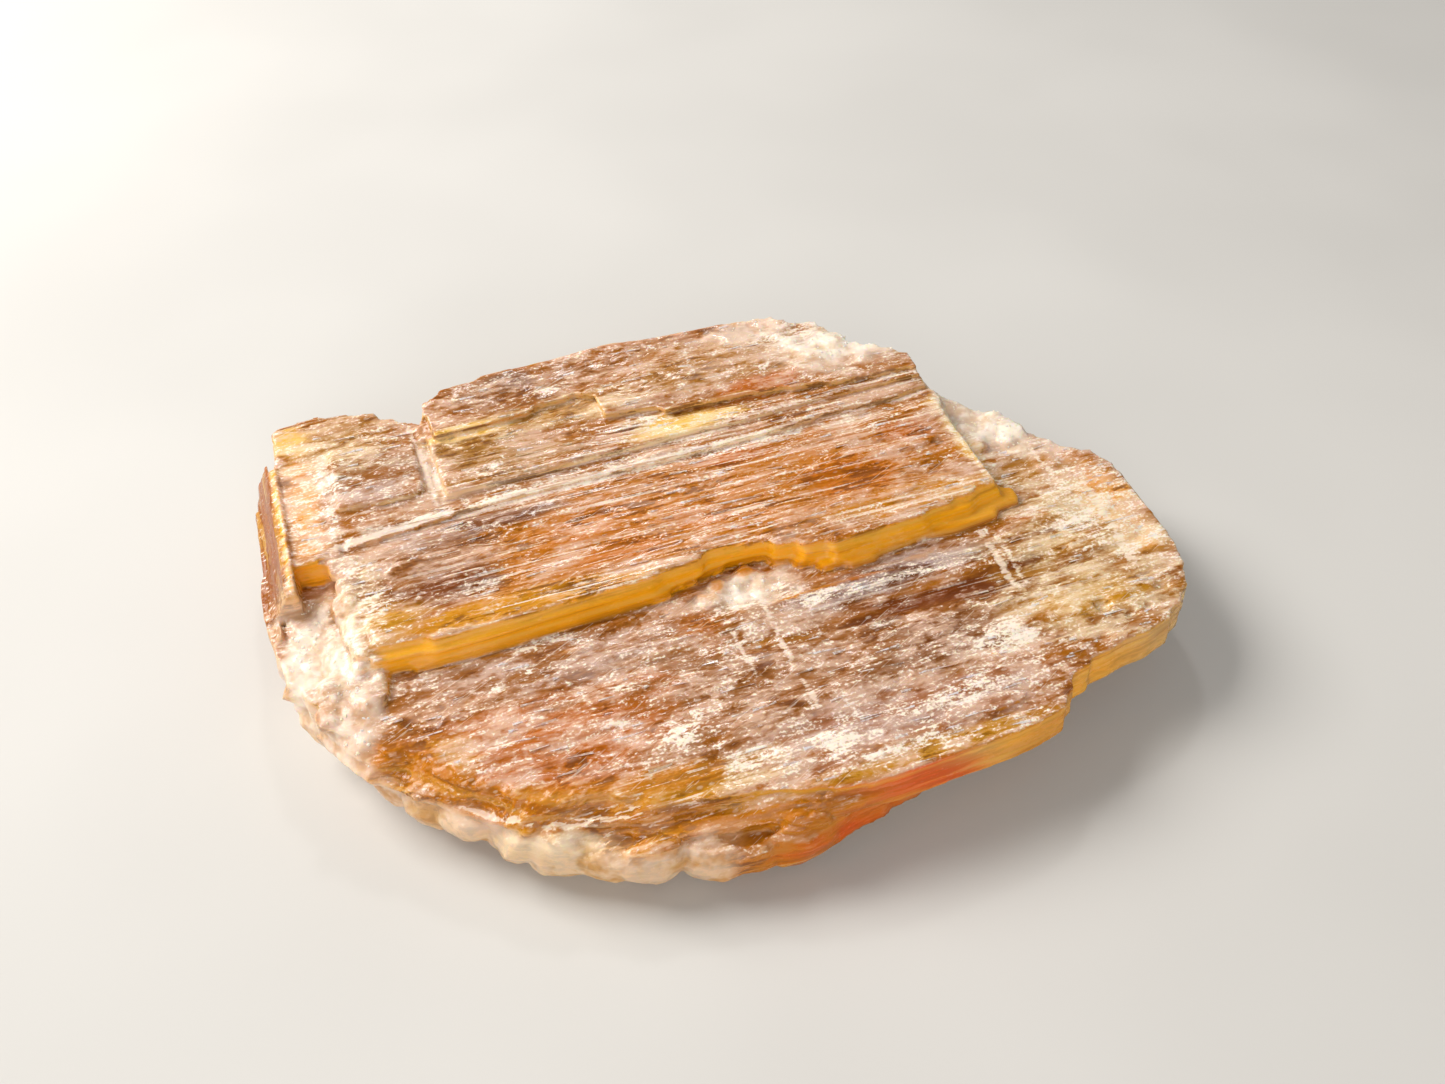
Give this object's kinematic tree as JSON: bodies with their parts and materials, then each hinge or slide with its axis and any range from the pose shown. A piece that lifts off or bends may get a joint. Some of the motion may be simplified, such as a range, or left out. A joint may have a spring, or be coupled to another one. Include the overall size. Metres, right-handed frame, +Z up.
{
  "type": "kyanite crystal",
  "caption": "Broken tabular orange kyanite crystal: a flat plate of stepped cleavage layers with splintery edges and pale crust on its rim.",
  "frame": {"origin": "centre of the bounding box in plan, on the surface that the crystal rests on", "axes": "+X along the crystal's length and fibres, +Y across the blades towards the thicker edge, +Z up, square to the cleavage plate"},
  "size_m": [0.0308, 0.022, 0.005],
  "materials": {
    "kyanite_stone": "pearly to glassy on the cleavage faces, matt on the crust"
  },
  "bodies": {
    "root": {"kyanite_crystal": "kyanite_stone"}
  },
  "joints": []
}
